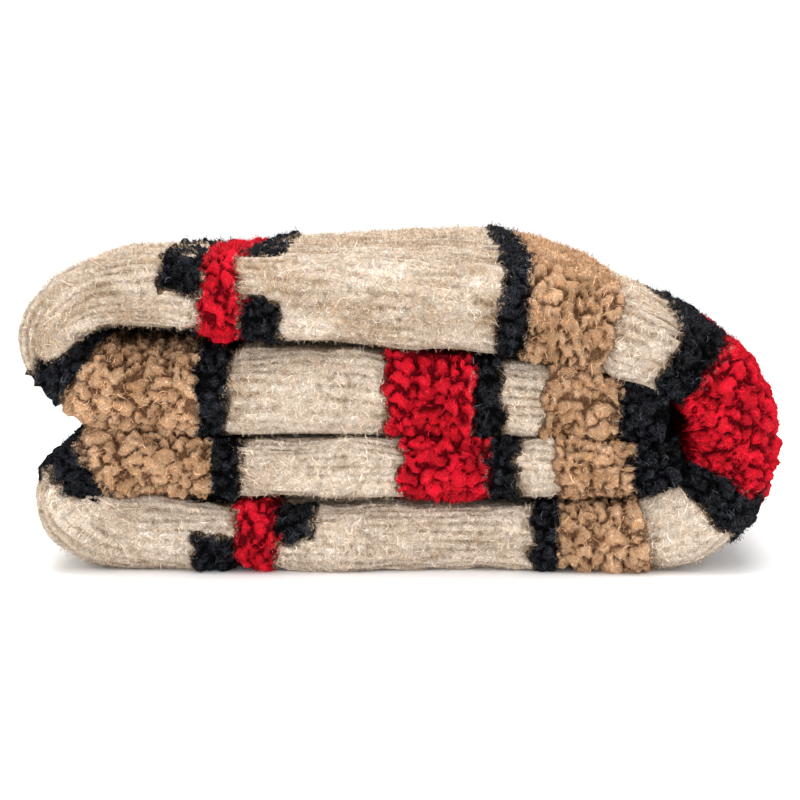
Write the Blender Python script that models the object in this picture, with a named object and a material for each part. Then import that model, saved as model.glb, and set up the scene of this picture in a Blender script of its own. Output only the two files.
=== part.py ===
"""A thick wool blanket, folded for a shelf.

The cloth is folded in four across its width, into a strip of four plies with a round fold at the front.
The strip's two ends are then folded in to its middle, and it is folded in half with the ends inside.
Seen from the front, the strip runs from its first end to its last as

    second layer (leftwards) - upper left fold - top layer (rightwards) - right fold -
    bottom layer (leftwards) - lower left fold - third layer (rightwards)

Units are metres. X runs along the layers, Y from the front folds to the open edges, and Z is up.
The origin is the middle of the stack's base.
"""

import math

import bmesh
import bpy
import numpy as np

# The stack
DEPTH = 0.330  # from the round front folds to the open edges
FRONT = -DEPTH / 2
BACK = DEPTH / 2
HALF_WIDTH = 0.230
HEIGHT = 0.196

# One strip of four plies
PLIES = 4
PLY_GAP = 0.0018  # air between two plies
NOSE_SQUASH = 0.78  # depth of the front fold, as a share of a half circle's
BACK_SQUASH = 0.90  # the same for the fold at the back
INNER_SET_BACK = 0.004  # the inner cut edge stops this much short of the outer one at the back
END_STAGGER = 0.004  # the inner plies stand out this much at the strip's ends
STAGGER_SPAN = (0.55, 0.80)  # where across the cloth the stagger grows, as shares of the cloth's width
RIM_WIDTH = 0.005  # the cut edges round off over this width
RIM_SHARE = 0.55  # a cut edge's thickness at its rim, as a share of the ply's

# How finely the strip is divided
LINE_POINTS = 3000  # along the strip's middle line, from which the sections are taken
SECTIONS = 106  # along the strip
BEND_WEIGHT = 0.050  # metres of straight strip that take as many sections as a turn of one radian
OUTER_STEPS = 3  # along the straight part of a section's outer ply
INNER_STEPS = 2  # the same for its other plies
NOSE_STEPS = 8  # round the outer front fold
FOLD_STEPS = 4  # round the inner front fold and the back fold

# Settling of the soft stack
REST_SINK = 0.0015  # the bottom flattens against what it lies on by this much
BACK_NARROWING = 0.012  # the back corners lie this much further in than the front ones
TOP_HOLLOW = {"x": -0.045, "y": 0.010, "half_x": 0.085, "half_y": 0.080, "depth": 0.003}
# A wave has its reach in metres, its waves in a metre of width and in the stack's height, and its phase.
FRONT_WAVE = {"reach": 0.0030, "across": 4.6, "up": 0.64, "phase": 0.0}
BACK_WAVE = {"reach": 0.0040, "across": 3.3, "up": 0.80, "phase": 0.16}
SIDE_WAVE = {"reach": 0.0100, "across": 0.0, "up": 0.41, "phase": 0.11}

# The strip's middle line, its loft, which is the four plies together, and how far its nose stands forward.
STATION_COLUMNS = ("where", "x", "z", "loft", "nose")
STATIONS = (
    ("second layer, first end", 0.1640, 0.0970, 0.0325, -0.004),
    ("second layer", 0.1450, 0.0990, 0.0370, -0.003),
    ("second layer", 0.1206, 0.1020, 0.0420, -0.002),
    ("second layer", 0.0855, 0.1056, 0.0468, 0.000),
    ("second layer", 0.0244, 0.1084, 0.0515, 0.001),
    ("second layer", -0.0610, 0.1108, 0.0535, 0.000),
    ("second layer", -0.1220, 0.1104, 0.0530, -0.001),
    ("second layer", -0.1650, 0.1118, 0.0490, -0.001),
    ("upper left fold", -0.1995, 0.1240, 0.0430, 0.000),
    ("upper left fold", -0.2135, 0.1450, 0.0385, 0.001),
    ("upper left fold", -0.2010, 0.1645, 0.0390, 0.002),
    ("top layer", -0.1660, 0.1745, 0.0420, 0.003),
    ("top layer", -0.1220, 0.1720, 0.0475, 0.004),
    ("top layer", -0.0610, 0.1685, 0.0530, 0.004),
    ("top layer", 0.0244, 0.1640, 0.0550, 0.004),
    ("top layer", 0.0855, 0.1583, 0.0550, 0.003),
    ("top layer", 0.1250, 0.1494, 0.0518, 0.002),
    ("right fold", 0.1600, 0.1376, 0.0480, 0.002),
    ("right fold", 0.1900, 0.1214, 0.0485, 0.002),
    ("right fold", 0.2060, 0.0990, 0.0480, 0.001),
    ("right fold", 0.2085, 0.0735, 0.0470, 0.001),
    ("right fold", 0.1975, 0.0488, 0.0465, 0.002),
    ("right fold", 0.1750, 0.0308, 0.0440, 0.003),
    ("bottom layer", 0.1380, 0.0222, 0.0415, 0.003),
    ("bottom layer", 0.0855, 0.0208, 0.0410, 0.003),
    ("bottom layer", 0.0244, 0.0210, 0.0415, 0.002),
    ("bottom layer", -0.0610, 0.0218, 0.0430, 0.002),
    ("bottom layer", -0.1220, 0.0228, 0.0440, 0.001),
    ("bottom layer", -0.1640, 0.0235, 0.0435, 0.001),
    ("lower left fold", -0.1930, 0.0316, 0.0375, 0.001),
    ("lower left fold", -0.2030, 0.0480, 0.0350, 0.001),
    ("lower left fold", -0.1905, 0.0628, 0.0330, 0.000),
    ("third layer", -0.1640, 0.0676, 0.0310, -0.001),
    ("third layer", -0.1220, 0.0663, 0.0330, -0.001),
    ("third layer", -0.0724, 0.0656, 0.0355, 0.000),
    ("third layer", -0.0244, 0.0658, 0.0350, 0.000),
    ("third layer", 0.0244, 0.0650, 0.0378, 0.001),
    ("third layer", 0.0855, 0.0643, 0.0388, 0.001),
    ("third layer", 0.1206, 0.0648, 0.0350, 0.001),
    ("third layer", 0.1480, 0.0653, 0.0315, 0.000),
    ("third layer, last end", 0.1730, 0.0662, 0.0270, -0.001),
)

# How far the top rises above its front, halfway to the back and at the back.
RISE_COLUMNS = ("x", "middle", "back")
RISES = (
    (-0.240, -0.002, -0.012),
    (-0.165, -0.002, -0.014),
    (-0.100, 0.000, -0.011),
    (-0.040, 0.005, -0.004),
    (0.020, 0.009, 0.002),
    (0.070, 0.011, 0.004),
    (0.120, 0.008, 0.002),
    (0.170, 0.002, -0.003),
    (0.240, 0.001, -0.004),
)

WOOL = {"name": "wool pile", "colour": (0.72, 0.62, 0.50, 1.0), "roughness": 0.95, "metallic": 0.0}


def clear_scene():
    for obj in list(bpy.data.objects):
        bpy.data.objects.remove(obj)


def wool_material():
    material = bpy.data.materials.new(WOOL["name"])
    material.use_nodes = True
    shader = material.node_tree.nodes["Principled BSDF"]
    shader.inputs["Base Color"].default_value = WOOL["colour"]
    shader.inputs["Roughness"].default_value = WOOL["roughness"]
    shader.inputs["Metallic"].default_value = WOOL["metallic"]
    return material


def columns(table, headings, names):
    """The named columns of a table, side by side."""
    return np.array([[row[headings.index(name)] for name in names] for row in table])


def natural_spline(knots, values, at):
    """Values of the natural cubic spline through (knots, values), a column for each value."""
    gaps = np.diff(knots)
    count = len(knots)
    matrix = np.eye(count)
    rises = np.zeros_like(values)
    slopes = np.diff(values, axis=0) / gaps[:, None]
    for i in range(1, count - 1):
        matrix[i, i - 1 : i + 2] = gaps[i - 1], 2 * (gaps[i - 1] + gaps[i]), gaps[i]
        rises[i] = 6 * (slopes[i] - slopes[i - 1])
    bends = np.linalg.solve(matrix, rises)
    left = np.clip(np.searchsorted(knots, at) - 1, 0, count - 2)
    gap = gaps[left][:, None]
    after = (at - knots[left])[:, None]
    before = gap - after
    ends = (bends[left] * before**3 + bends[left + 1] * after**3) / (6 * gap)
    start = (values[left] / gap - bends[left] * gap / 6) * before
    stop = (values[left + 1] / gap - bends[left + 1] * gap / 6) * after
    return ends + start + stop


def strip_line():
    """Rows of x, z, loft and nose along the strip, closer together in bends, and its tangents."""
    values = columns(STATIONS, STATION_COLUMNS, ("x", "z", "loft", "nose"))
    knots = np.concatenate([[0], np.cumsum(np.linalg.norm(np.diff(values[:, :2], axis=0), axis=1))])
    fine = natural_spline(knots, values, np.linspace(0, knots[-1], LINE_POINTS))
    steps = np.linalg.norm(np.diff(fine[:, :2], axis=0), axis=1)
    heading = np.unwrap(np.arctan2(np.diff(fine[:, 1]), np.diff(fine[:, 0])))
    turning = np.abs(np.gradient(heading))
    effort = np.concatenate([[0], np.cumsum(steps + BEND_WEIGHT * turning)])
    run_in = [0.0, RIM_WIDTH]
    run_out = [effort[-1] - RIM_WIDTH, effort[-1]]
    middle = np.linspace(RIM_WIDTH, effort[-1] - RIM_WIDTH, SECTIONS - 2)[1:-1]
    wanted = np.concatenate([run_in, middle, run_out])
    line = np.stack([np.interp(wanted, effort, fine[:, i]) for i in range(4)], axis=1)
    tangents = np.stack([np.interp(wanted, effort, np.gradient(fine[:, i])) for i in range(2)], axis=1)
    return line, tangents / np.linalg.norm(tangents, axis=1)[:, None]


def arc(centre_y, centre_n, radius, half, squash, start, stop, steps, facing):
    """Points round one fold of a ply, as (y, n) of the cloth's face and of its reverse."""
    face, reverse = [], []
    for turn in np.linspace(start, stop, steps + 1)[1:-1]:
        along = math.cos(turn) * squash
        across = math.sin(turn)
        for side, found in ((facing, face), (-facing, reverse)):
            reach = radius + side * half
            found.append((centre_y + reach * along, centre_n + reach * across))
    return face, reverse


def run(start_y, stop_y, n, half, up, rims, steps=INNER_STEPS):
    """Points along one straight ply. up is 1 where its face looks along +n, and rims are cut ends."""
    at = np.linspace(start_y, stop_y, steps + 1)
    shares = np.ones(len(at))
    inwards = math.copysign(RIM_WIDTH, stop_y - start_y)
    if "start" in rims:
        at = np.insert(at, 1, start_y + inwards)
        shares = np.insert(shares, 0, RIM_SHARE)
    if "stop" in rims:
        at = np.insert(at, -1, stop_y - inwards)
        shares = np.append(shares, RIM_SHARE)
    face = [(y, n + up * half * share) for y, share in zip(at, shares)]
    reverse = [(y, n - up * half * share) for y, share in zip(at, shares)]
    return face, reverse


def ply_section(loft, nose, share):
    """The four plies cut across the strip: (y, n) of the cloth's face and of its reverse.

    n is the height above the strip's middle line. The cloth starts at a cut edge at the back, on the
    outer side, turns at the front, folds back at the rear on the inner side, turns once more inside the
    first turn and ends at its other cut edge. share thins every ply, for the ends of the strip.
    """
    pitch = loft / PLIES
    half = share * (pitch - PLY_GAP) / 2
    bend = FRONT - nose + 2 * pitch * NOSE_SQUASH
    rear = BACK - pitch * BACK_SQUASH
    quarter = math.pi / 2
    outer, lower, inner, upper = 1.5 * pitch, -1.5 * pitch, -0.5 * pitch, 0.5 * pitch
    pieces = (
        run(BACK, bend, outer, half, 1, ("start",), OUTER_STEPS),
        arc(bend, 0, outer, half, -NOSE_SQUASH, quarter, -quarter, NOSE_STEPS, 1),
        run(bend, rear, lower, half, -1, ()),
        arc(rear, -pitch, pitch / 2, half, BACK_SQUASH, -quarter, quarter, FOLD_STEPS, 1),
        run(rear, bend, inner, half, 1, ()),
        arc(bend, 0, pitch / 2, half, -NOSE_SQUASH, -quarter, quarter, FOLD_STEPS, -1),
        run(bend, BACK - INNER_SET_BACK, upper, half, -1, ("stop",)),
    )
    face = [point for piece in pieces for point in piece[0]]
    reverse = [point for piece in pieces for point in piece[1]]
    return np.array(face), np.array(reverse)


def wave(x, height, reach, across, up, phase):
    return reach * np.sin(2 * math.pi * (across * x + up * height + phase))


def top_hollow(x, y):
    off_x = (x - TOP_HOLLOW["x"]) / TOP_HOLLOW["half_x"]
    off_y = (y - TOP_HOLLOW["y"]) / TOP_HOLLOW["half_y"]
    return TOP_HOLLOW["depth"] * np.exp(-(off_x**2) - off_y**2)


def settle(points):
    """The soft stack's unevenness, as one smooth change of place, so that the layers stay apart."""
    x, y, z = points.T
    depth = np.clip((y - FRONT) / DEPTH, 0, 1)
    height = z / HEIGHT
    knots = columns(RISES, RISE_COLUMNS, ("x",))[:, 0]
    middle, back = natural_spline(knots, columns(RISES, RISE_COLUMNS, ("middle", "back")), x).T
    rise = 4 * (middle - back / 2) * depth * (1 - depth) + back * depth
    z_new = z + rise * height - top_hollow(x, y) * height**3 - REST_SINK
    x_new = x + wave(x, height, **SIDE_WAVE) * depth - BACK_NARROWING * depth**2 * x / HALF_WIDTH
    front_wave = wave(x, height, **FRONT_WAVE) * (1 - depth) ** 2
    y_new = y + front_wave + wave(x, height, **BACK_WAVE) * depth**2
    return np.stack([x_new, y_new, np.maximum(z_new, 0)], axis=1)


def blanket_grid():
    """Points of the cloth's face and reverse, each a grid of (section, place across the cloth, xyz).

    The grids are settled, and placed with the middle of the stack's base at the origin.
    """
    line, tangents = strip_line()
    faces, reverses = [], []
    for i, ((x, z, loft, nose), (run_x, run_z)) in enumerate(zip(line, tangents)):
        at_end = i in (0, len(line) - 1)
        towards = -1 if i < 2 else 1 if i >= len(line) - 2 else 0
        section = ply_section(loft, nose, RIM_SHARE if at_end else 1)
        for points, found in zip(section, (faces, reverses)):
            y, n = points.T
            places = np.linspace(0, 1, len(points))
            stagger = towards * np.interp(places, STAGGER_SPAN, (0, END_STAGGER))
            across = x - run_z * n + run_x * stagger
            above = z + run_x * n + run_z * stagger
            found.append(np.stack([across, y, above], axis=1))
    grid = np.array([faces, reverses])
    settled = settle(grid.reshape(-1, 3)).reshape(grid.shape)
    low, high = settled.min(axis=(0, 1, 2)), settled.max(axis=(0, 1, 2))
    return settled - ((low + high) / 2 * (1, 1, 0) + low * (0, 0, 1))


def build_blanket():
    grid = blanket_grid()
    sections, across = grid.shape[1:3]
    mesh = bmesh.new()
    front, back = [[[mesh.verts.new(point) for point in section] for section in side] for side in grid]
    for i in range(sections - 1):
        for k in range(across - 1):
            mesh.faces.new((front[i][k], front[i][k + 1], front[i + 1][k + 1], front[i + 1][k]))
            mesh.faces.new((back[i][k], back[i + 1][k], back[i + 1][k + 1], back[i][k + 1]))
        for k, turned in ((0, False), (across - 1, True)):
            rim = [front[i][k], front[i + 1][k], back[i + 1][k], back[i][k]]
            mesh.faces.new(rim[::-1] if turned else rim)
    for i, turned in ((0, True), (sections - 1, False)):
        for k in range(across - 1):
            rim = [front[i][k], front[i][k + 1], back[i][k + 1], back[i][k]]
            mesh.faces.new(rim[::-1] if turned else rim)
    bmesh.ops.recalc_face_normals(mesh, faces=mesh.faces)
    bmesh.ops.triangulate(mesh, faces=mesh.faces)
    data = bpy.data.meshes.new("blanket")
    mesh.to_mesh(data)
    mesh.free()
    data.materials.append(wool_material())
    data.shade_smooth()
    blanket = bpy.data.objects.new("blanket", data)
    bpy.context.scene.collection.objects.link(blanket)
    return blanket


clear_scene()
build_blanket()
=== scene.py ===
import math

import bpy
import numpy as np
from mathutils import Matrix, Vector, kdtree
from mathutils.bvhtree import BVHTree


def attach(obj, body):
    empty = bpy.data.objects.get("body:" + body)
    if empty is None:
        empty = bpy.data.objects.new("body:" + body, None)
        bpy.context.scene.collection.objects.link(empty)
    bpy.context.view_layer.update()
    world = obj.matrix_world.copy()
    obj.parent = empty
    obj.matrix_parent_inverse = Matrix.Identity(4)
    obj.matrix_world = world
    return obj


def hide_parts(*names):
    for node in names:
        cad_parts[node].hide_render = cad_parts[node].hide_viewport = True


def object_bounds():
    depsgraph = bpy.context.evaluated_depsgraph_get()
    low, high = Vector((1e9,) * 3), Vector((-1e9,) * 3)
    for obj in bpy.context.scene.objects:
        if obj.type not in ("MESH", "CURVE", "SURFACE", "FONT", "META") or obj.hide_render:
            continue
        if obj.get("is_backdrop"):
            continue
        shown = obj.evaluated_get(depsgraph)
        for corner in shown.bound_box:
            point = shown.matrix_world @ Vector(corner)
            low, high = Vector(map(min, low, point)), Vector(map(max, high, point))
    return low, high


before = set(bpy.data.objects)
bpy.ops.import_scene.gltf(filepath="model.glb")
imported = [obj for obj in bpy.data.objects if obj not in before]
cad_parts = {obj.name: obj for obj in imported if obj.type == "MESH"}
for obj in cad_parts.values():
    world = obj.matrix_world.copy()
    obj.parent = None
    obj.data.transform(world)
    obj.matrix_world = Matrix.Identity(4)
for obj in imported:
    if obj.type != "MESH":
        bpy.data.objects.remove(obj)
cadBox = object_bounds()
print("frame loaded")

# The folded strip, in metres: its middle line, its loft of four plies and how far its nose stands forward.
fold = {
    "front": -0.165,
    "back": 0.165,
    "halfWidth": 0.230,
    "height": 0.196,
    "plyGap": 0.0018,
    "noseSquash": 0.78,
    "backSquash": 0.90,
    "innerSetBack": 0.004,
    "endStagger": 0.004,
    "staggerSpan": (0.55, 0.80),
    "rimShare": 0.55,
    "rimWidth": 0.005,
    "restSink": 0.0015,
    "backNarrowing": 0.012,
}
# Each station of the strip: where it is, its x and z, its loft and how far its nose stands forward.
stations = (
    ("second layer, first end", 0.1640, 0.0970, 0.0325, -0.004),
    ("second layer", 0.1450, 0.0990, 0.0370, -0.003),
    ("second layer", 0.1206, 0.1020, 0.0420, -0.002),
    ("second layer", 0.0855, 0.1056, 0.0468, 0.000),
    ("second layer", 0.0244, 0.1084, 0.0515, 0.001),
    ("second layer", -0.0610, 0.1108, 0.0535, 0.000),
    ("second layer", -0.1220, 0.1104, 0.0530, -0.001),
    ("second layer", -0.1650, 0.1118, 0.0490, -0.001),
    ("upper left fold", -0.1995, 0.1240, 0.0430, 0.000),
    ("upper left fold", -0.2135, 0.1450, 0.0385, 0.001),
    ("upper left fold", -0.2010, 0.1645, 0.0390, 0.002),
    ("top layer", -0.1660, 0.1745, 0.0420, 0.003),
    ("top layer", -0.1220, 0.1720, 0.0475, 0.004),
    ("top layer", -0.0610, 0.1685, 0.0530, 0.004),
    ("top layer", 0.0244, 0.1640, 0.0550, 0.004),
    ("top layer", 0.0855, 0.1583, 0.0550, 0.003),
    ("top layer", 0.1250, 0.1494, 0.0518, 0.002),
    ("right fold", 0.1600, 0.1376, 0.0480, 0.002),
    ("right fold", 0.1900, 0.1214, 0.0485, 0.002),
    ("right fold", 0.2060, 0.0990, 0.0480, 0.001),
    ("right fold", 0.2085, 0.0735, 0.0470, 0.001),
    ("right fold", 0.1975, 0.0488, 0.0465, 0.002),
    ("right fold", 0.1750, 0.0308, 0.0440, 0.003),
    ("bottom layer", 0.1380, 0.0222, 0.0415, 0.003),
    ("bottom layer", 0.0855, 0.0208, 0.0410, 0.003),
    ("bottom layer", 0.0244, 0.0210, 0.0415, 0.002),
    ("bottom layer", -0.0610, 0.0218, 0.0430, 0.002),
    ("bottom layer", -0.1220, 0.0228, 0.0440, 0.001),
    ("bottom layer", -0.1640, 0.0235, 0.0435, 0.001),
    ("lower left fold", -0.1930, 0.0316, 0.0375, 0.001),
    ("lower left fold", -0.2030, 0.0480, 0.0350, 0.001),
    ("lower left fold", -0.1905, 0.0628, 0.0330, 0.000),
    ("third layer", -0.1640, 0.0676, 0.0310, -0.001),
    ("third layer", -0.1220, 0.0663, 0.0330, -0.001),
    ("third layer", -0.0724, 0.0656, 0.0355, 0.000),
    ("third layer", -0.0244, 0.0658, 0.0350, 0.000),
    ("third layer", 0.0244, 0.0650, 0.0378, 0.001),
    ("third layer", 0.0855, 0.0643, 0.0388, 0.001),
    ("third layer", 0.1206, 0.0648, 0.0350, 0.001),
    ("third layer", 0.1480, 0.0653, 0.0315, 0.000),
    ("third layer, last end", 0.1730, 0.0662, 0.0270, -0.001),
)
# For each x, how far the stack's top rises in the middle of its depth and at its back.
rises = (
    (-0.240, -0.002, -0.012),
    (-0.165, -0.002, -0.014),
    (-0.100, 0.000, -0.011),
    (-0.040, 0.005, -0.004),
    (0.020, 0.009, 0.002),
    (0.070, 0.011, 0.004),
    (0.120, 0.008, 0.002),
    (0.170, 0.002, -0.003),
    (0.240, 0.001, -0.004),
)
hollow = {"x": -0.045, "y": 0.010, "halfX": 0.085, "halfY": 0.080, "depth": 0.003}
frontWave = {"reach": 0.0030, "across": 4.6, "up": 0.64, "phase": 0.0}
backWave = {"reach": 0.0040, "across": 3.3, "up": 0.80, "phase": 0.16}
sideWave = {"reach": 0.0100, "across": 0.0, "up": 0.41, "phase": 0.11}


def naturalSpline(knots, values, at):
    gaps = np.diff(knots)
    count = len(knots)
    matrix = np.eye(count)
    change = np.zeros_like(values)
    slopes = np.diff(values, axis=0) / gaps[:, None]
    for i in range(1, count - 1):
        matrix[i, i - 1 : i + 2] = gaps[i - 1], 2 * (gaps[i - 1] + gaps[i]), gaps[i]
        change[i] = 6 * (slopes[i] - slopes[i - 1])
    bends = np.linalg.solve(matrix, change)
    left = np.clip(np.searchsorted(knots, at) - 1, 0, count - 2)
    gap = gaps[left][:, None]
    after = (at - knots[left])[:, None]
    before = gap - after
    ends = (bends[left] * before**3 + bends[left + 1] * after**3) / (6 * gap)
    start = (values[left] / gap - bends[left] * gap / 6) * before
    stop = (values[left + 1] / gap - bends[left + 1] * gap / 6) * after
    return ends + start + stop


def wave(x, height, reach, across, up, phase):
    return reach * np.sin(2 * math.pi * (across * x + up * height + phase))


def settle(points):
    # the soft stack's unevenness, as one smooth change of place
    x, y, z = points.T
    depth = np.clip((y - fold["front"]) / (fold["back"] - fold["front"]), 0, 1)
    height = z / fold["height"]
    table = np.array(rises)
    middle, back = naturalSpline(table[:, 0], table[:, 1:], x).T
    rise = 4 * (middle - back / 2) * depth * (1 - depth) + back * depth
    offX = (x - hollow["x"]) / hollow["halfX"]
    offY = (y - hollow["y"]) / hollow["halfY"]
    dip = hollow["depth"] * np.exp(-(offX**2) - offY**2) * height**3
    z2 = z + rise * height - dip - fold["restSink"]
    x2 = x + wave(x, height, **sideWave) * depth - fold["backNarrowing"] * depth**2 * x / fold["halfWidth"]
    y2 = y + wave(x, height, **frontWave) * (1 - depth) ** 2 + wave(x, height, **backWave) * depth**2
    return np.stack([x2, y2, np.maximum(z2, 0)], axis=1)


# How the cloth is divided: rows run across it, columns along it.
grid = {
    "cell": 0.010,  # the rows' spacing where the strip is straight
    "turn": 0.12,  # the most that the strip turns from row to row, in radians
    "linePoints": 4000,
}
# Each stretch of a section: its nominal length, its steps and how many of them the reverse takes as one.
stretches = {
    "outer": (0.3105, 204, 12),
    "nose": (0.0530, 40, 4),
    "lowerFront": (0.0350, 18, 6),
    "lower": (0.2640, 12, 1),
    "rear": (0.0187, 8, 2),
    "inner": (0.2990, 12, 1),
    "innerNose": (0.0180, 8, 2),
    "upper": (0.3065, 12, 1),
}


def stripRows():
    # distance along the strip, then x, z, loft, nose and heading for each row
    values = np.array([row[1:] for row in stations])
    knots = np.concatenate([[0], np.cumsum(np.linalg.norm(np.diff(values[:, :2], axis=0), axis=1))])
    fine = naturalSpline(knots, values, np.linspace(0, knots[-1], grid["linePoints"]))
    steps = np.linalg.norm(np.diff(fine[:, :2], axis=0), axis=1)
    along = np.concatenate([[0], np.cumsum(steps)])
    tangent = np.gradient(fine[:, :2], axis=0)
    heading = np.unwrap(np.arctan2(tangent[:, 1], tangent[:, 0]))
    cells = int(round(along[-1] / grid["cell"]))
    edges = np.linspace(0, along[-1], cells + 1)
    at = [0.0]
    for start, stop in zip(edges[:-1], edges[1:]):
        turned = abs(np.interp(stop, along, heading) - np.interp(start, along, heading))
        parts = max(1, math.ceil(turned / grid["turn"]))
        at += list(np.linspace(start, stop, parts + 1)[1:])
    at = np.array(at)
    line = [np.interp(at, along, fine[:, i]) for i in range(4)]
    return at, line, np.interp(at, along, heading), along[-1]


def sectionAt(pitch, nose, stretch, share):
    # (y, n) of the ply's middle and the way its face looks, at a share of one stretch
    # n is up from the strip's middle line
    bend = fold["front"] - nose + 2 * pitch * fold["noseSquash"]
    rear = fold["back"] - pitch * fold["backSquash"]
    flat = np.zeros_like(pitch)
    lowerShare = stretches["lowerFront"][0] / (stretches["lowerFront"][0] + stretches["lower"][0])
    if stretch == "outer":
        y = fold["back"] + (bend - fold["back"]) * share
        return y, 1.5 * pitch, flat, flat + 1
    if stretch == "nose":
        turn = math.pi / 2 - math.pi * share
        outwards, upwards = -fold["noseSquash"] * math.cos(turn), math.sin(turn)
        return bend + 1.5 * pitch * outwards, 1.5 * pitch * upwards, flat + outwards, flat + upwards
    if stretch in ("lowerFront", "lower"):
        part = share * lowerShare if stretch == "lowerFront" else lowerShare + share * (1 - lowerShare)
        return bend + (rear - bend) * part, -1.5 * pitch, flat, flat - 1
    if stretch == "rear":
        turn = -math.pi / 2 + math.pi * share
        outwards, upwards = fold["backSquash"] * math.cos(turn), math.sin(turn)
        return rear + pitch / 2 * outwards, -pitch + pitch / 2 * upwards, flat + outwards, flat + upwards
    if stretch == "inner":
        return rear + (bend - rear) * share, -0.5 * pitch, flat, flat + 1
    if stretch == "innerNose":
        turn = -math.pi / 2 + math.pi * share
        outwards, upwards = -fold["noseSquash"] * math.cos(turn), math.sin(turn)
        return bend + pitch / 2 * outwards, pitch / 2 * upwards, flat - outwards, flat - upwards
    y = bend + (fold["back"] - fold["innerSetBack"] - bend) * share
    return y, 0.5 * pitch, flat, flat - 1


def clothGrid():
    along, (x, z, loft, nose), heading, total = stripRows()
    pitch = loft / 4
    half = (pitch - fold["plyGap"]) / 2
    runX, runZ = np.cos(heading), np.sin(heading)
    places, width = [], 0.0
    for name, (length, steps, skip) in stretches.items():
        shares = np.linspace(0, 1, steps + 1)[:-1]
        places += [(name, share, width + share * length, k % skip == 0) for k, share in enumerate(shares)]
        width += length
    places.append(("upper", 1.0, width, True))
    lastRow = len(along) - 1
    endShare = np.ones(lastRow + 1)
    endShare[[0, lastRow]] = fold["rimShare"]
    endWay = np.zeros(lastRow + 1)
    endWay[:2] = -1
    endWay[-2:] = 1
    faces, reverses = [], []
    for name, share, w, coarse in places:
        y, n, wayY, wayN = sectionAt(pitch, nose, name, share)
        fromRim = min(w, width - w)
        rim = fold["rimShare"] + (1 - fold["rimShare"]) * min(1, fromRim / fold["rimWidth"]) ** 0.5
        stagger = endWay * np.interp(w / width, fold["staggerSpan"], (0, fold["endStagger"]))
        for side, found in ((1, faces), (-1, reverses)):
            reach = side * half * rim * endShare
            n2, y2 = n + wayN * reach, y + wayY * reach
            x2 = x - runZ * n2 + runX * stagger
            z2 = z + runX * n2 + runZ * stagger
            found.append(np.stack([x2, y2, z2], axis=1))
    both = np.array([faces, reverses]).transpose(0, 2, 1, 3)
    settled = settle(both.reshape(-1, 3)).reshape(both.shape)
    low, high = settled.min(axis=(0, 1, 2)), settled.max(axis=(0, 1, 2))
    boxLow, boxHigh = np.array(cadBox[0]), np.array(cadBox[1])
    shift = (boxLow + boxHigh) / 2 - (low + high) / 2
    shift[2] = boxLow[2] - low[2]
    settled += shift
    coarse = [k for k, place in enumerate(places) if place[3]]
    return along, np.array([place[2] for place in places]), settled[0], settled[1], coarse, total, width


rowAt, columnAt, faceGrid, reverseGrid, coarseColumns, clothLength, clothWidth = clothGrid()
print("cloth", round(clothLength, 3), "by", round(clothWidth, 3))
print("rows", len(rowAt), "columns", len(columnAt))


def gridNormals(points):
    alongWay = np.gradient(points, axis=0)
    acrossWay = np.gradient(points, axis=1)
    normals = np.cross(acrossWay, alongWay)
    normals /= np.maximum(np.linalg.norm(normals, axis=2), 1e-12)[:, :, None]
    alongWay /= np.maximum(np.linalg.norm(alongWay, axis=2), 1e-12)[:, :, None]
    return normals, alongWay


faceNormals, faceRuns = gridNormals(faceGrid)
if (faceNormals * (faceGrid - reverseGrid)).sum() < 0:
    faceNormals = -faceNormals


def quadNumbers(rows, columns):
    i, k = np.meshgrid(np.arange(rows - 1), np.arange(columns - 1), indexing="ij")
    a = i * columns + k
    return np.stack([a, a + 1, a + columns + 1, a + columns], axis=-1).reshape(-1, 4)


def freeAir():
    # how far each point of the face sees before it meets another layer, in metres
    quads = quadNumbers(*faceGrid.shape[:2])
    tree = BVHTree.FromPolygons(faceGrid.reshape(-1, 3).tolist(), quads.tolist())
    reach = 0.030
    free = np.full(faceGrid.shape[:2], reach)
    starts = (faceGrid + faceNormals * 0.0006).reshape(-1, 3)
    for k, (start, way) in enumerate(zip(starts.tolist(), faceNormals.reshape(-1, 3).tolist())):
        found = tree.ray_cast(start, way, reach)[3]
        if found is not None:
            free.flat[k] = found
    return free


clearAir = freeAir()
print("layers measured")


noiseKnots = 64  # before the noise repeats


def softNoise(x, y, seed):
    # smooth random values from 0 to 1, one knot to each unit
    knots = np.random.default_rng(seed).random((noiseKnots, noiseKnots))
    i, k = np.floor(x).astype(int), np.floor(y).astype(int)
    u, v = x - i, y - k
    u, v = u * u * (3 - 2 * u), v * v * (3 - 2 * v)
    i2, k2 = (i + 1) % noiseKnots, (k + 1) % noiseKnots
    i, k = i % noiseKnots, k % noiseKnots
    near = knots[i, k] * (1 - u) + knots[i2, k] * u
    far = knots[i, k2] * (1 - u) + knots[i2, k2] * u
    return near * (1 - v) + far * v


def noiseOn(s, w, strength, alongSize, acrossSize, seed):
    return strength * softNoise(s / alongSize, w / acrossSize, seed)


# The pattern is plain: straight stripes across the cloth and checked rows.
# It is alike on both sides of the cloth's middle.
cream, black, red, tan = 0, 1, 2, 3
pattern = {
    "square": 0.027,  # of the checked rows
    "coarseStray": 0.0075,  # how far the edges wander
    "coarseGrain": 0.010,
    "fineStray": 0.0040,
    "fineGrain": 0.0042,
    "overlap": 0.0032,  # how far a wool runs on under the one dyed over it
    "deepest": 20,  # in millimetres, past which the depth inside a part makes no difference
}
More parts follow.
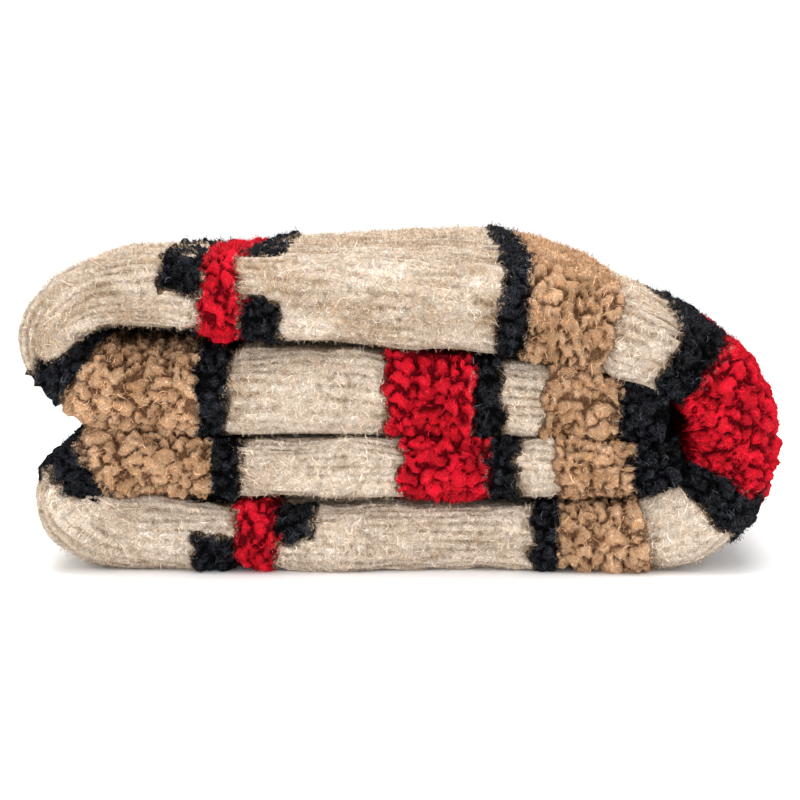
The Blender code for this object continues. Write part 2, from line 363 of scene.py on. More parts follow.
# Each stripe's wool, and how far its two edges are from the cloth's middle.
# The black ones come last and lie over their neighbours' edges, so that no cream shows between them.
stripes = (
    (red, -1.0, 0.040),
    (tan, 0.098, 0.156),
    (red, 0.327, 0.353),
    (tan, 0.486, 0.566),
    (red, 0.680, 0.736),
    (tan, 0.776, 0.826),
    (black, 0.034, 0.062),
    (black, 0.150, 0.170),
    (black, 0.470, 0.492),
    (black, 0.560, 0.582),
    (black, 0.730, 0.752),
    (black, 0.820, 2.0),
)
checkedRows = (0.303, 0.350)


def dyedParts(s, w):
    # each part in the order of dyeing, with how far inside its edge a place lies, in metres
    coarse, fine = pattern["coarseGrain"], pattern["fineGrain"]
    stray = pattern["coarseStray"] * (softNoise(s / coarse, w / coarse, 3) - 0.5)
    stray += pattern["fineStray"] * (softNoise(s / fine, w / fine, 2) - 0.5)
    fromMiddle = np.abs(s - clothLength / 2)
    for wool, near, far in stripes:
        yield wool, np.minimum(fromMiddle - near, far - fromMiddle) + stray
    square = pattern["square"]
    for number, near in enumerate(checkedRows):
        inRow = np.minimum(fromMiddle - near, near + square - fromMiddle)
        inSquare = square / 2 - np.abs((w + number * square) % (2 * square) - square)
        yield black, np.minimum(inRow, inSquare) + stray


def dyeAt(s, w):
    found = np.full(np.broadcast(s, w).shape, cream)
    for wool, inside in dyedParts(s, w):
        found = np.where(inside > 0, wool, found)
    return found


def dyeDepths(s, w):
    # how far inside each wool's parts a place lies, in millimetres, for the materials
    parts = {wool: np.full(s.shape, -1.0) for wool in (black, red, tan)}
    for wool, inside in dyedParts(s, w):
        for other in parts:
            if other == wool:
                parts[other] = np.maximum(parts[other], inside)
            else:
                parts[other] = np.minimum(parts[other], pattern["overlap"] - inside)
    most = pattern["deepest"]
    return {f"{woolNames[wool]}Part": np.clip(inside * 1000, -most, most) for wool, inside in parts.items()}


# Colours are linear. Shade is painted shade, the wool's colour darkened for deep in the pile's furrows,
# light is the lit colour of its tips, and fleck is stray fibre.
# Rise, mottling and level set how the pile's height and its mottle mix the painted shade and the lit
# colour.
wools = {
    "cream": {
        "shade": (0.215, 0.135, 0.076),
        "light": (0.780, 0.635, 0.500),
        "fleck": (0.940, 0.860, 0.770),
        "heather": (0.500, 0.345, 0.205),
        "rise": 1.2,
        "mottling": 3.4,
        "level": 1.70,
    },
    "black": {
        "shade": (0.0003, 0.0003, 0.0005),
        "light": (0.0022, 0.0025, 0.0036),
        "fleck": (0.0660, 0.0720, 0.0880),
        "heather": (0.0060, 0.0045, 0.0050),
        "rise": 3.0,
        "mottling": 3.0,
        "level": 2.70,
    },
    "red": {
        "shade": (0.160, 0.0012, 0.006),
        "light": (0.880, 0.0070, 0.027),
        "fleck": (0.990, 0.0340, 0.056),
        "heather": (0.300, 0.0025, 0.010),
        "rise": 2.8,
        "mottling": 2.2,
        "level": 2.10,
    },
    "tan": {
        "shade": (0.210, 0.096, 0.046),
        "light": (0.690, 0.375, 0.196),
        "fleck": (1.000, 0.730, 0.490),
        "heather": (0.400, 0.190, 0.084),
        "rise": 2.6,
        "mottling": 2.8,
        "level": 2.25,
    },
}
woolNames = ("cream", "black", "red", "tan")
# The wools' felt of fibres, and how it shows in colour, bump and roughness.
# The edge values are for where one dyed wool meets another.
felt = {
    "lines": ((180.0, 1.4, 17.0), (310.0, 1.2, 15.0)),  # scale, distortion and thinness
    "mottle": {"Scale": 200.0, "Detail": 6.0, "Roughness": 0.80},
    # the flecks' gain with height paints shade on the stray fibres down in the furrows
    "flecks": (0.56, 0.12),  # gain with the pile's height, and least
    "warmth": (("Red", 0.0), ("Green", 0.2), ("Blue", 0.5)),
    "bumpHeight": 0.0016,
    "bumpMottle": 1.6,
    "shine": 0.04,
    "roughness": (-0.16, 0.97),  # gain with the fibres, and most
    "edgeMottle": 9.0,
    "edgeFibres": 2.6,
    "edge": (4.4, 6.8),
}


def addNode(tree, kind, **inputs):
    node = tree.nodes.new(kind)
    for name, value in inputs.items():
        node.inputs[name.replace("_", " ")].default_value = value
    return node


def addMath(tree, operation, first, second, third=None):
    node = tree.nodes.new("ShaderNodeMath")
    node.operation = operation
    for socket, value in zip(node.inputs, (first, second, third)):
        if isinstance(value, bpy.types.NodeSocket):
            tree.links.new(value, socket)
        elif value is not None:
            socket.default_value = value
    return node.outputs[0]


def mixColours(tree, factor, first, second, blend="MIX"):
    node = tree.nodes.new("ShaderNodeMix")
    node.data_type = "RGBA"
    node.blend_type = blend
    for socket, value in ((node.inputs[0], factor), (node.inputs[6], first), (node.inputs[7], second)):
        if isinstance(value, bpy.types.NodeSocket):
            tree.links.new(value, socket)
        else:
            socket.default_value = value
    return node.outputs[2]


def rampValues(tree, value, low, high):
    node = addNode(tree, "ShaderNodeMapRange", From_Min=low, From_Max=high)
    tree.links.new(value, node.inputs["Value"])
    return node.outputs["Result"]


def newGroup(name, inputs, outputs):
    tree = bpy.data.node_groups.new(name, "ShaderNodeTree")
    for way, sockets in (("INPUT", inputs), ("OUTPUT", outputs)):
        for socket, kind in sockets:
            tree.interface.new_socket(socket, in_out=way, socket_type=f"NodeSocket{kind}")
    return tree, tree.nodes.new("NodeGroupInput"), tree.nodes.new("NodeGroupOutput")


def curledLines(tree, place, scale, distortion, thin):
    # thin curled lines, where a warped noise passes its middle value
    noise = addNode(tree, "ShaderNodeTexNoise", Scale=scale, Detail=2.0, Roughness=0.6)
    noise.inputs["Distortion"].default_value = distortion
    tree.links.new(place, noise.inputs["Vector"])
    off = addMath(tree, "ABSOLUTE", addMath(tree, "SUBTRACT", noise.outputs["Fac"], 0.5), None)
    return addMath(tree, "SUBTRACT", 1.0, addMath(tree, "MULTIPLY", off, thin))


def makeFibreGroup():
    # a felt of curled fibres: how much fibre lies on top at each place
    tree, _, outside = newGroup("woolFibres", (), (("Fibres", "Float"), ("Mottle", "Float")))
    place = tree.nodes.new("ShaderNodeTexCoord").outputs["Object"]
    first, second = [curledLines(tree, place, *lines) for lines in felt["lines"]]
    both = addMath(tree, "MAXIMUM", addMath(tree, "MAXIMUM", first, second), 0.0)
    mottle = addNode(tree, "ShaderNodeTexNoise", **felt["mottle"])
    tree.links.new(place, mottle.inputs["Vector"])
    tree.links.new(both, outside.inputs["Fibres"])
    tree.links.new(mottle.outputs["Fac"], outside.inputs["Mottle"])
    return tree


def makeColourGroup():
    # mottled wool: painted shade between the tufts, the lit colour on their tips, stray fibres over them
    inputs = [(name, "Color") for name in ("Shade", "Light", "Fleck", "Heather")]
    inputs += [(name, "Float") for name in ("Rise", "Mottling", "Level")]
    inputs += [(name, "Float") for name in ("Height", "Tone", "Tint", "Fibres", "Mottle")]
    tree, inside, outside = newGroup("woolColour", inputs, (("Color", "Color"),))
    get = inside.outputs
    # painted shade: the lower the pile's height, the more of the shade colour
    height = addMath(tree, "SUBTRACT", addMath(tree, "MULTIPLY", get["Height"], get["Rise"]), get["Level"])
    depth = addMath(tree, "MULTIPLY_ADD", get["Mottle"], get["Mottling"], height)
    tinted = mixColours(tree, get["Tint"], get["Light"], get["Heather"])
    shown = rampValues(tree, depth, 0.0, 1.0)
    base = mixColours(tree, shown, get["Shade"], tinted)
    # painted shade: the stray fibres dim as the shade mix deepens, so they darken in the furrows too
    flecks = addMath(tree, "MULTIPLY", get["Fibres"], addMath(tree, "MULTIPLY_ADD", shown, *felt["flecks"]))
    flecked = mixColours(tree, flecks, base, get["Fleck"])
    # a darker tone is a warmer one
    tone = tree.nodes.new("ShaderNodeCombineColor")
    dark = addMath(tree, "MINIMUM", get["Tone"], 1.0)
    for socket, power in felt["warmth"]:
        part = addMath(tree, "MULTIPLY", get["Tone"], addMath(tree, "POWER", dark, power))
        tree.links.new(part, tone.inputs[socket])
    toned = mixColours(tree, 1.0, flecked, tone.outputs["Color"], "MULTIPLY")
    tree.links.new(toned, outside.inputs["Color"])
    return tree


def makeGrainGroup():
    # the felt of fibres as a bump
    inputs = (("Fibres", "Float"), ("Mottle", "Float"), ("Strength", "Float"))
    tree, inside, outside = newGroup("woolGrain", inputs, (("Normal", "Vector"),))
    masks = inside.outputs
    height = addMath(tree, "MULTIPLY_ADD", masks["Mottle"], felt["bumpMottle"], masks["Fibres"])
    bump = addNode(tree, "ShaderNodeBump", Distance=felt["bumpHeight"])
    tree.links.new(inside.outputs["Strength"], bump.inputs["Strength"])
    tree.links.new(height, bump.inputs["Height"])
    tree.links.new(bump.outputs["Normal"], outside.inputs["Normal"])
    return tree


fibreGroup = makeFibreGroup()
colourGroup = makeColourGroup()
grainGroup = makeGrainGroup()


def addGroup(tree, group, links):
    node = tree.nodes.new("ShaderNodeGroup")
    node.node_tree = group
    for socket, value in links.items():
        if isinstance(value, bpy.types.NodeSocket):
            tree.links.new(value, node.inputs[socket])
        else:
            node.inputs[socket].default_value = value
    return node


def readAttribute(tree, name):
    reader = tree.nodes.new("ShaderNodeAttribute")
    reader.attribute_name = name
    return reader.outputs["Fac"]


def addWool(tree, wool, common):
    values = wools[wool]
    sockets = {socket: (*values[socket.lower()], 1) for socket in ("Shade", "Light", "Fleck", "Heather")}
    sockets.update({socket: values[socket.lower()] for socket in ("Rise", "Mottling", "Level")})
    return addGroup(tree, colourGroup, {**sockets, **common}).outputs["Color"]


def makeWool(name, wool, grain=0.8, dyed=()):
    # dyed: further wools, each where its own attribute is above 0
    material = bpy.data.materials.new(name)
    material.use_nodes = True
    tree = material.node_tree
    shader = tree.nodes["Principled BSDF"]
    shader.inputs["Specular IOR Level"].default_value = felt["shine"]
    group = addGroup(tree, fibreGroup, {})
    masks = {socket: group.outputs[socket] for socket in ("Fibres", "Mottle")}
    common = {socket: readAttribute(tree, f"pile{socket}") for socket in ("Height", "Tone", "Tint")}
    common.update(masks)
    if not grain:
        common["Fibres"] = readAttribute(tree, "pileFleck")
    colour = addWool(tree, wool, common)
    for other in dyed:
        part = readAttribute(tree, f"{other}Part")
        edge = addMath(tree, "MULTIPLY_ADD", masks["Mottle"], felt["edgeMottle"], part)
        edge = addMath(tree, "MULTIPLY_ADD", masks["Fibres"], felt["edgeFibres"], edge)
        share = rampValues(tree, edge, *felt["edge"])
        colour = mixColours(tree, share, colour, addWool(tree, other, common))
    tree.links.new(colour, shader.inputs["Base Color"])
    roughness = addMath(tree, "MULTIPLY_ADD", masks["Fibres"], *felt["roughness"])
    tree.links.new(roughness, shader.inputs["Roughness"])
    bumps = addGroup(tree, grainGroup, {**masks, "Strength": grain})
    tree.links.new(bumps.outputs["Normal"], shader.inputs["Normal"])
    return material


def makePiece(name, points, faces, attributes, material):
    mesh = bpy.data.meshes.new(name)
    mesh.from_pydata(points, [], faces)
    for key, values in attributes.items():
        layer = mesh.attributes.new(key, "FLOAT", "POINT")
        layer.data.foreach_set("value", np.asarray(values, dtype=np.float32).ravel())
    mesh.materials.append(material)
    mesh.shade_smooth()
    piece = bpy.data.objects.new(name, mesh)
    bpy.context.scene.collection.objects.link(piece)
    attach(piece, "root")
    return piece


# The cloth itself, with the knit's rows raised on the cream.
cloth = {
    "rowPitch": 0.0050,
    "rowRise": 0.0013,
    "lump": 0.0022,  # of the soft unevenness
    "lumpSize": 0.030,
    "underPile": 0.0032,  # how far the cloth lies back under the dyed pile
    # each swollen fold: its place along the cloth, its half width and its rise
    "full": ((0.385, 0.040, 0.0010), (0.905, 0.045, 0.0052), (1.325, 0.050, 0.0048)),
    # each noise: its strength, its grain along and across the cloth, and its seed
    "rowWander": ((1.1, 0.050, 0.020, 5), (0.5, 0.016, 0.008, 6)),
    "rowFade": (1.0, 0.028, 0.014, 7),
    "heatherStreaks": ((1.0, 0.022, 0.0035, 13), (1.0, 0.060, 0.011, 14)),
    "yarn": ((0.20, 0.05, 0.012, 11), (0.24, 0.014, 0.007, 12)),
    "small": (1.0, 0.015, 0.007, 9),
    "smallRise": 0.0026,
    "shut": 0.002,  # the air in front of the cloth at which its relief is gone
    "open": 0.008,  # and at which it is whole
    "paleTone": 0.78,
    # places along the cloth, and how much heather there is at each
    "heather": ((0.28, 0.36, 0.72, 0.82), (0.6, 1.7, 1.7, 0.4)),
    "crease": {"along": 0.404, "across": 0.352, "halfAlong": 0.006, "halfAcross": 0.022, "depth": 0.0030},
}


def openness(free, least, most):
    return np.clip((free - least) / (most - least), 0, 1)


def knitRows(s, w):
    # 1 on a row's broad crest and 0 in the narrow gap between two, wandering and broken as brushed wool is
    wander = sum(noiseOn(s, w, *noise) for noise in cloth["rowWander"])
    gap = (0.5 + 0.5 * np.cos(2 * math.pi * (w / cloth["rowPitch"] + wander))) ** 1.8
    return 1 - gap * (0.15 + noiseOn(s, w, *cloth["rowFade"]) ** 1.3)


def heatherAt(s, w):
    # how much of the darker, warmer wool is spun in, in streaks along the rows
    fine, broad = [noiseOn(s, w, *noise) for noise in cloth["heatherStreaks"]]
    streaks = fine * broad
    return np.clip((1.9 * streaks - 0.22) * np.interp(s, *cloth["heather"]), 0, 1)


def streaksAt(s, w):
    # lighter and darker yarn, in streaks along the rows
    return sum(noiseOn(s, w, *noise) for noise in cloth["yarn"])


def clothRelief(s, w):
    crest = knitRows(s, w)
    lumps = cloth["lump"] * (softNoise(s / cloth["lumpSize"], w / cloth["lumpSize"], 8) - 0.5) * 2
    small = cloth["smallRise"] * (noiseOn(s, w, *cloth["small"]) - 0.5) * 2
    pile = np.where(dyeAt(s, w) == cream, cloth["rowRise"] * (crest - 0.7) + small, -cloth["underPile"])
    dent = cloth["crease"]
    offS = (s - dent["along"]) / dent["halfAlong"]
    offW = (w - dent["across"]) / dent["halfAcross"]
    relief = pile + lumps - dent["depth"] * np.exp(-(offS**2) - offW**2)
    for middle, half, swell in cloth["full"]:
        relief += swell * np.exp(-(((s - middle) / half) ** 2))
    relief *= openness(clearAir, cloth["shut"], cloth["open"])
    relief[[0, -1]] = 0
    relief[:, [0, -1]] = 0
    return relief, crest


def buildCloth(material):
    s, w = np.meshgrid(rowAt, columnAt, indexing="ij")
    relief, crest = clothRelief(s, w)
    rows, columns = relief.shape
    face = faceGrid + faceNormals * relief[:, :, None]
    face[:, :, 2] = np.maximum(face[:, :, 2], cadBox[0][2])
    reverse = reverseGrid[:, coarseColumns]
    points = np.concatenate([face.reshape(-1, 3), reverse.reshape(-1, 3)])
    faceQuads = quadNumbers(rows, columns)
    first = rows * columns
    count = len(coarseColumns)
    polygons = faceQuads.tolist() + (quadNumbers(rows, count) + first)[:, ::-1].tolist()
    for k, inner, turned in ((0, 0, False), (columns - 1, count - 1, True)):
        for i in range(rows - 1):
            near, far = i * columns + k, first + i * count + inner
            rim = [near, near + columns, far + count, far]
            polygons.append(rim[::-1] if turned else rim)
    for i, turned in ((0, True), (rows - 1, False)):
        for inner in range(count - 1):
            start, stop = coarseColumns[inner], coarseColumns[inner + 1]
            edge = list(range(i * columns + start, i * columns + stop + 1))
            rim = edge + [first + i * count + inner + 1, first + i * count + inner]
            polygons.append(rim[::-1] if turned else rim)
    # painted shade: the colour's height drops in the gaps between the knit's rows, under the dyed pile and
    # where another layer lies close in front, so these get more of the shade colour
    shown = openness(clearAir, cloth["shut"], cloth["open"])
    height = np.where(dyeAt(s, w) == cream, 0.10 + 0.75 * crest, 0.10) * (0.5 + 0.5 * shown)
    tone = cloth["paleTone"] + streaksAt(s, w)
    attributes = {"pileHeight": height, "pileTone": tone, "pileTint": heatherAt(s, w), **dyeDepths(s, w)}
    for name, values in attributes.items():
        attributes[name] = np.concatenate([values.ravel(), values[:, coarseColumns].ravel()])
    piece = makePiece("blanketCloth", points.tolist(), polygons, attributes, material)
    firstQuad = piece.data.polygons[len(faceQuads) // 2]
    i, k = divmod(firstQuad.vertices[0], columns)
    if firstQuad.normal.dot(Vector(faceNormals[i, k])) < 0:
        piece.data.flip_normals()
    return piece, face


blanket, reliefGrid = buildCloth(makeWool("clothWool", "cream", 0.9, ("black", "red", "tan")))
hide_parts("blanket")
print("cloth made", len(blanket.data.polygons))


def quadAreas():
    a = reliefGrid[1:, :-1] - reliefGrid[:-1, :-1]
    b = reliefGrid[:-1, 1:] - reliefGrid[:-1, :-1]
    return np.linalg.norm(np.cross(a, b), axis=2)


areas = quadAreas()
acrossNormals = np.cross(faceNormals, faceRuns)
stretchAlong = np.linalg.norm(np.gradient(faceGrid, rowAt, axis=0), axis=2)
stretchAcross = np.linalg.norm(np.gradient(faceGrid, columnAt, axis=1), axis=2)


def gridWeights(at, knots):
    left = np.clip(np.searchsorted(knots, at, side="right") - 1, 0, len(knots) - 2)
    return left, np.clip((at - knots[left]) / (knots[left + 1] - knots[left]), 0, 1)


def onCloth(s, w, *grids):
    # values of the grids at places on the cloth's face
    (i, u), (k, v) = gridWeights(s, rowAt), gridWeights(w, columnAt)
    found = []
    for values in grids:
        shape = u.shape + (1,) * (values.ndim - 2)
        uu, vv = u.reshape(shape), v.reshape(shape)
        near = values[i, k] * (1 - uu) + values[i + 1, k] * uu
        far = values[i, k + 1] * (1 - uu) + values[i + 1, k + 1] * uu
        found.append(near * (1 - vv) + far * vv)
    return found


def spotsOn(wanted, leastAir, count, seed):
    # random places on the open part of the cloth's face, evenly by area: distances along and across
    rng = np.random.default_rng(seed)
    air = np.minimum(clearAir[1:, 1:], clearAir[:-1, :-1])
    pressed = (faceGrid[1:, 1:, 2] < 0.0015) & (faceNormals[1:, 1:, 2] < -0.9)
    weights = np.where((air > leastAir) & ~pressed, areas, 0).ravel()
    picked = rng.choice(len(weights), size=count, p=weights / weights.sum())
    i, k = np.divmod(picked, areas.shape[1])
    s = rowAt[i] + (rowAt[i + 1] - rowAt[i]) * rng.random(count)
    w = columnAt[k] + (columnAt[k + 1] - columnAt[k]) * rng.random(count)
    kept = np.isin(dyeAt(s, w), wanted)
    return s[kept], w[kept]


def spacedOut(points, apart):
    # keeps points that lie at least so far apart
    tree = kdtree.KDTree(len(points))
    for k, point in enumerate(points.tolist()):
        tree.insert(point, k)
    tree.balance()
    kept = np.ones(len(points), bool)
    for k, point in enumerate(points.tolist()):
        if kept[k]:
            for _, other, _ in tree.find_range(point, apart):
                if other != k:
                    kept[other] = False
    return kept


# The dyed wools' pile: close clumps over the cloth's face, with deep furrows between them.
pile = {
    "step": 0.00176,  # along the cloth
    "steps": ((0.285, 0.0021), (0.375, 0.0013), (0.450, 0.0021)),  # across: up to where, how far apart
    "clump": 0.0068,
    "height": 0.0062,
    "blackShare": 0.95,  # of the height for the black wool's clumps
    "furrow": 0.32,  # share of a clump that its slope takes
    "warp": 0.0032,
    "bend": 0.0044,
    "edge": 0.0030,  # how soon the pile rises from the edge of its dye
    "leastAir": 0.0026,
    "tries": 90000,
    "size": (0.72, 0.50),  # least, and how much more the largest has
    "tone": (0.72, 0.42),
    "pairs": 9973,  # how many depths of furrow there are
    "fine": ((1.0, 0.0030, 0.0030, 28), (0.7, 0.0018, 0.0018, 29)),
    "sways": (("warp", 0.0042, 25, 26), ("bend", 0.0110, 23, 24)),  # strength, grain and seeds
}


def findClumps(places, middles):
    # the nearest two clumps of each place
    tree = kdtree.KDTree(len(middles))
    for k, middle in enumerate(middles.tolist()):
        tree.insert(middle, k)
    tree.balance()
    found = [tree.find_n(place, 2) for place in places.tolist()]
    numbers = np.array([[hit[1] for hit in pair] for pair in found])
    return numbers, np.array([[hit[2] for hit in pair] for pair in found])


def growPile():
    # the pile's height over a fine grid of the cloth, and each place's clump tone
    s, w = spotsOn((black, red, tan), pile["leastAir"], pile["tries"], 21)
    middles = onCloth(s, w, reliefGrid)[0]
    kept = spacedOut(middles, pile["clump"])
    middles = middles[kept]
    rng = np.random.default_rng(22)
    least, more = pile["size"]
    size = least + more * rng.random(len(middles))
    size *= np.where(dyeAt(s[kept], w[kept]) == black, pile["blackShare"], 1)
    least, more = pile["tone"]
    tone = least + more * rng.random(len(middles))
    alongAt = np.linspace(0, clothLength, round(clothLength / pile["step"]))
    acrossAt = [0.0]
    for stop, step in pile["steps"]:
        acrossAt += list(np.linspace(acrossAt[-1], stop, round((stop - acrossAt[-1]) / step) + 1)[1:])
    acrossAt = np.array(acrossAt)
    s, w = np.meshgrid(alongAt, acrossAt, indexing="ij")
    air, = onCloth(s, w, clearAir)
    inside = np.full(s.shape, -1.0)
    for wool, depth in dyedParts(s, w):
        inside = np.maximum(inside, depth)
    fromEdge = np.minimum(np.minimum(w, s), clothLength - s)
    used = (inside > -0.0045) & (air > pile["leastAir"] * 0.7)
    height = np.full(s.shape, -0.002)
    tones = np.ones(s.shape)
    places, runs, across = onCloth(s[used], w[used], reliefGrid, faceRuns, acrossNormals)
    for strength, grain, first, second in pile["sways"]:
        swayS = softNoise(s[used] / grain, w[used] / grain, first) - 0.5
        swayW = softNoise(s[used] / grain, w[used] / grain, second) - 0.5
        places += 2 * pile[strength] * (runs * swayS[:, None] + across * swayW[:, None])
    numbers, far = findClumps(places, middles)
    apart = (far[:, 1] - far[:, 0]) / pile["clump"]
    pair = (numbers[:, 0] + 1) * (numbers[:, 1] + 1) % pile["pairs"]
    depth = 0.25 + 0.75 * np.random.default_rng(27).random(pile["pairs"])[pair]
    share = 0.5 * np.exp(-((apart / 0.35) ** 2))
    mixed = [values[numbers[:, 0]] * (1 - share) + values[numbers[:, 1]] * share for values in (size, tone)]
    clump = mixed[0] * (1 - depth * np.exp(-((apart / pile["furrow"]) ** 2)))
    clump -= 0.45 * (far[:, 0] / pile["clump"]) ** 2
    fine = sum(noiseOn(s[used], w[used], *noise) for noise in pile["fine"])
    rise = pile["height"] * (clump + 0.34 * (fine - 0.85))
    edge = np.clip(np.minimum(inside[used], fromEdge[used] + 0.0015) / pile["edge"], -0.4, 1)
    rise = np.where(edge > 0, rise * np.sqrt(np.abs(edge)), edge * 0.004)
    height[used] = 0.0006 + rise * openness(air[used], 0.0015, 0.008)
    tones[used] = mixed[1]
    return alongAt, acrossAt, height, tones, used


pileAlong, pileAcross, pileHeights, pileTones, pileUsed = growPile()


def pileAt(s, w):
    # how high the pile stands over the cloth's face
    (i, u), (k, v) = gridWeights(s, pileAlong), gridWeights(w, pileAcross)
    near = pileHeights[i, k] * (1 - u) + pileHeights[i + 1, k] * u
    far = pileHeights[i, k + 1] * (1 - u) + pileHeights[i + 1, k + 1] * u
    return near * (1 - v) + far * v


def buildPile(material):
    s, w = np.meshgrid(pileAlong, pileAcross, indexing="ij")
    points, normals = onCloth(s, w, reliefGrid, faceNormals)
    normals /= np.linalg.norm(normals, axis=2)[:, :, None]
    points = points + normals * pileHeights[:, :, None]
    points[:, :, 2] = np.maximum(points[:, :, 2], cadBox[0][2])
    pressed = (points[:, :, 2] < cadBox[0][2] + 1e-6) & (normals[:, :, 2] < -0.9)
    shown = pileUsed & ~pressed & (pileHeights > -0.0005)
    corners = shown[:-1, :-1].astype(int) + shown[1:, :-1] + shown[:-1, 1:] + shown[1:, 1:]
    whole = (corners >= 2) & pileUsed[:-1, :-1] & pileUsed[1:, :-1] & pileUsed[:-1, 1:] & pileUsed[1:, 1:]
    quads = quadNumbers(*s.shape)[whole.ravel()]
    kept, numbers = np.unique(quads, return_inverse=True)
    # painted shade: the lower the pile stands, the more of each wool's shade colour, so the furrows between
    # the clumps are darkened in colour
    depth = np.clip((pileHeights - 0.0006) / pile["height"], 0, 1) ** 0.8
    tint = 0.6 * softNoise(s / 0.009, w / 0.009, 15) ** 2
    tones = pileTones * (0.86 + 0.28 * softNoise(s / 0.028, w / 0.020, 16))
    attributes = {"pileHeight": depth, "pileTone": tones, "pileTint": tint, **dyeDepths(s, w)}
    attributes = {name: values.ravel()[kept] for name, values in attributes.items()}
    polygons = numbers.reshape(-1, 4).tolist()
    piece = makePiece("dyedPile", points.reshape(-1, 3)[kept].tolist(), polygons, attributes, material)
    first = piece.data.polygons[0]
    if first.normal.dot(Vector(normals.reshape(-1, 3)[kept[first.vertices[0]]])) < 0:
        piece.data.flip_normals()
    print("dyed pile triangles", len(quads) * 2)
    return piece


dyedPile = buildPile(makeWool("dyedWool", "cream", 1.0, ("black", "red", "tan")))

# Loose fibres: thin ribbons, curled along the pile or standing a little off it.
fibres = {
    "cream": {
        "wools": (cream,),
        "tries": 141000,
        "leastAir": 0.0040,
        "length": 0.0060,
        "half": 0.00013,
        "segments": 3,
        "curl": 4.6,
        "arch": 0.0011,
        "stand": 0.0013,
        "lift": 0.0001,
        "spread": 0.75,  # of the fibres' way about the knit's rows, in radians
        "tone": (0.58, 1.28),
    },
    "dyed": {
        "wools": (black, red, tan),
        "tries": 106000,
        "leastAir": 0.0040,
        "length": 0.0048,
        "half": 0.00009,
        "segments": 3,
        "curl": 5.2,
        "arch": 0.0016,
        "stand": 0.0014,
        "lift": 0.0004,
        "spread": 9.0,
        "tone": (0.55, 1.25),
    },
}
# How bright each wool's dullest fibres are, how much brighter its brightest are, and how rare.
shines = {cream: (0.75, 0.6, 2), black: (0.30, 5, 3), red: (0.75, 0.8, 2), tan: (0.75, 0.8, 2)}
thickness = np.array([1, 1.5, 1.3, 1.3])  # of each wool's fibres
mostTriangles = 196000  # in one piece


def layFibres(name, seed):
    values = fibres[name]
    s, w = spotsOn(values["wools"], values["leastAir"], values["tries"], seed)
    rng = np.random.default_rng(seed + 1)
    count = len(s)
    swirl = 1.8 * (softNoise(s / 0.011, w / 0.008, seed + 2) - 0.5)
    angle = rng.normal(0, values["spread"], count) + swirl + rng.choice([0, math.pi], count)
    length = values["length"] * (0.5 + rng.random(count))
    curl = values["curl"] * (rng.random(count) - 0.5) * 2
    curl = np.where(np.abs(curl) < 0.05, 0.05, curl)
    air, along, across = onCloth(s, w, clearAir, stretchAlong, stretchAcross)
    room = np.clip((air - 0.001) / 0.010, 0.05, 1)
    arch = values["arch"] * rng.random(count) * room
    stand = values["stand"] * rng.random(count) ** 1.7 * 2.2 * room
    steps = values["segments"]
    middles, ups = [], []
    for share in np.linspace(0, 1, steps + 1):
        turn = curl * share
        alongWay = length * np.sin(turn) / curl
        sideways = length * (1 - np.cos(turn)) / curl
        stepS = (alongWay * np.cos(angle) - sideways * np.sin(angle)) / along
        stepW = (alongWay * np.sin(angle) + sideways * np.cos(angle)) / across
        atS, atW = np.clip(s + stepS, 0, clothLength), np.clip(w + stepW, 0, clothWidth)
        places, normals = onCloth(atS, atW, reliefGrid, faceNormals)
        normals /= np.linalg.norm(normals, axis=1)[:, None]
        lift = values["lift"] + arch * math.sin(math.pi * share) + stand * math.sin(2.2 * share)
        pileHere = np.maximum(pileAt(atS, atW), 0) if name == "dyed" else 0
        middles.append(places + normals * (lift + pileHere)[:, None])
        ups.append(normals)
    dye = dyeAt(s, w)
    thick = values["half"] * thickness[dye][:, None]
    verts = []
    for k, (middle, up) in enumerate(zip(middles, ups)):
        if k == steps:
            verts.append(middle)
            continue
        way = middles[k + 1] - middles[max(k - 1, 0)]
        side = np.cross(up, way)
        side /= np.maximum(np.linalg.norm(side, axis=1), 1e-9)[:, None]
        half = thick * (1 - 0.35 * k / steps)
        verts += [middle - side * half, middle + side * half]
    return np.array(verts).transpose(1, 0, 2), s, w, rng


def makeFibres(name, verts, tones, tints, flecks, heights, material):
    # joined pieces of many fibres, each piece below the most triangles
    corners = verts.shape[1]
    quads = np.array([(2 * k, 2 * k + 1, 2 * k + 3, 2 * k + 2) for k in range((corners - 1) // 2 - 1)])
    tip = np.array([(corners - 3, corners - 2, corners - 1)])
    triangles = 2 * len(quads) + 1
    parts = math.ceil(len(verts) * triangles / mostTriangles)
    made = []
    for part, chosen in enumerate(np.array_split(np.arange(len(verts)), parts)):
        points = verts[chosen].reshape(-1, 3)
        points[:, 2] = np.maximum(points[:, 2], cadBox[0][2])
        base = np.arange(len(chosen))[:, None, None] * corners
        polygons = (base + quads[None]).reshape(-1, 4).tolist() + (base + tip[None]).reshape(-1, 3).tolist()
        attributes = {
            "pileHeight": np.repeat(heights[chosen], corners),
            "pileTone": np.repeat(tones[chosen], corners),
            "pileTint": np.repeat(tints[chosen], corners),
            "pileFleck": np.repeat(flecks[chosen], corners),
        }
        pieceName = name + (str(part + 1) if part else "")
        made.append(makePiece(pieceName, points.tolist(), polygons, attributes, material))
        print(name, part + 1, "fibres", len(chosen), "triangles", len(chosen) * triangles)
    return made


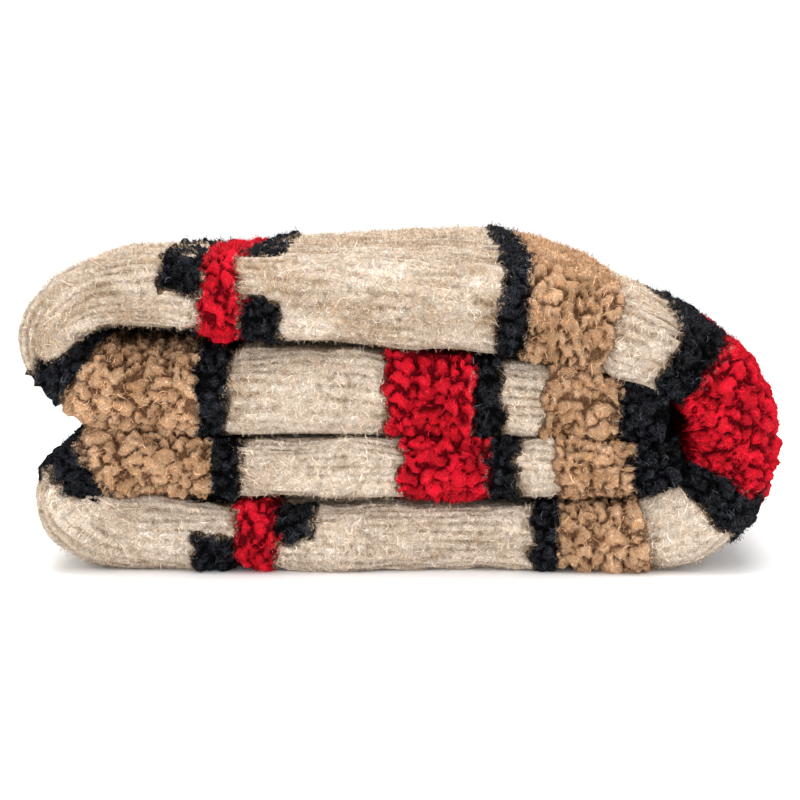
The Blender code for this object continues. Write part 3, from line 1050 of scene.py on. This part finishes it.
def buildFibres(name, seed):
    verts, s, w, rng = layFibres(name, seed)
    dye = dyeAt(s, w)
    low, high = fibres[name]["tone"]
    tones = (low + (high - low) * rng.random(len(verts))) * (cloth["paleTone"] + streaksAt(s, w))
    tints = rng.random(len(verts)) ** 2.5
    if name == "cream":
        # painted shade: the cream fibres are darker in the gaps between the knit's rows
        tones *= 0.78 + 0.30 * knitRows(s, w)
        tints = np.clip(0.8 * heatherAt(s, w) + 0.8 * tints, 0, 1)
    flecks = rng.random(len(verts)) ** 2
    heights = rng.random(len(verts)) ** 0.7
    made = []
    for wool in fibres[name]["wools"]:
        mine = dye == wool
        least, gain, power = shines[wool]
        shine = least + gain * rng.random(len(verts)) ** power
        material = makeWool(f"{woolNames[wool]}Fibre", woolNames[wool], 0.0)
        parts = [values[mine] for values in (verts, tones * shine, tints, flecks, heights)]
        made += makeFibres(f"{woolNames[wool]}Fibres", *parts, material)
    return made


loosePieces = buildFibres("dyed", 41) + buildFibres("cream", 31)

# The studio
studio = {
    "distance": 1.870,
    "height": 0.302,
    "targetHeight": 0.0885,
    "lens": 126.4,
    "floorHalf": 12.0,
    "world": 1.20,
}
# Each light's name, place, target, size and power.
softboxes = (
    ("overhead", (0, 0.35, 1.6), (0, 0, 0.1), (1.8, 1.4), 40),
    ("frontLeft", (-0.9, -1.7, 0.10), (0, 0, 0.04), (1.2, 0.18), 14.2),
    ("frontRight", (0.9, -1.7, 0.10), (0, 0, 0.04), (1.2, 0.18), 14.2),
)


def addFloor():
    half = studio["floorHalf"]
    bpy.ops.mesh.primitive_plane_add(size=2 * half, location=(0, 0, 0))
    floor = bpy.context.object
    floor.name = "studioFloor"
    material = bpy.data.materials.new("paleFloor")
    material.use_nodes = True
    shader = material.node_tree.nodes["Principled BSDF"]
    shader.inputs["Base Color"].default_value = (0.93, 0.93, 0.93, 1)
    shader.inputs["Roughness"].default_value = 0.8
    floor.data.materials.append(material)
    floor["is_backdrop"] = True


def addSoftbox(name, place, target, size, power):
    light = bpy.data.lights.new(name, "AREA")
    light.shape = "RECTANGLE"
    light.size, light.size_y = size
    light.energy = power
    lamp = bpy.data.objects.new(name, light)
    lamp.location = place
    lamp.rotation_euler = (Vector(target) - Vector(place)).to_track_quat("-Z", "Y").to_euler()
    bpy.context.scene.collection.objects.link(lamp)


def addCamera():
    camera = bpy.data.cameras.new("camera")
    camera.lens = studio["lens"]
    camera.sensor_width = 36
    camera.clip_end = 60
    eye = bpy.data.objects.new("camera", camera)
    eye.location = (0, -studio["distance"], studio["height"])
    target = Vector((0, 0, studio["targetHeight"]))
    eye.rotation_euler = (target - eye.location).to_track_quat("-Z", "Y").to_euler()
    bpy.context.scene.collection.objects.link(eye)
    bpy.context.scene.camera = eye


addFloor()
for softbox in softboxes:
    addSoftbox(*softbox)
world = bpy.data.worlds.new("studio")
world.use_nodes = True
world.node_tree.nodes["Background"].inputs["Color"].default_value = (1, 1, 1, 1)
world.node_tree.nodes["Background"].inputs["Strength"].default_value = studio["world"]
bpy.context.scene.world = world
bpy.context.scene.view_settings.view_transform = "Standard"
addCamera()
print("studio set")

[[list(corner) for corner in box] for box in (cadBox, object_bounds())]
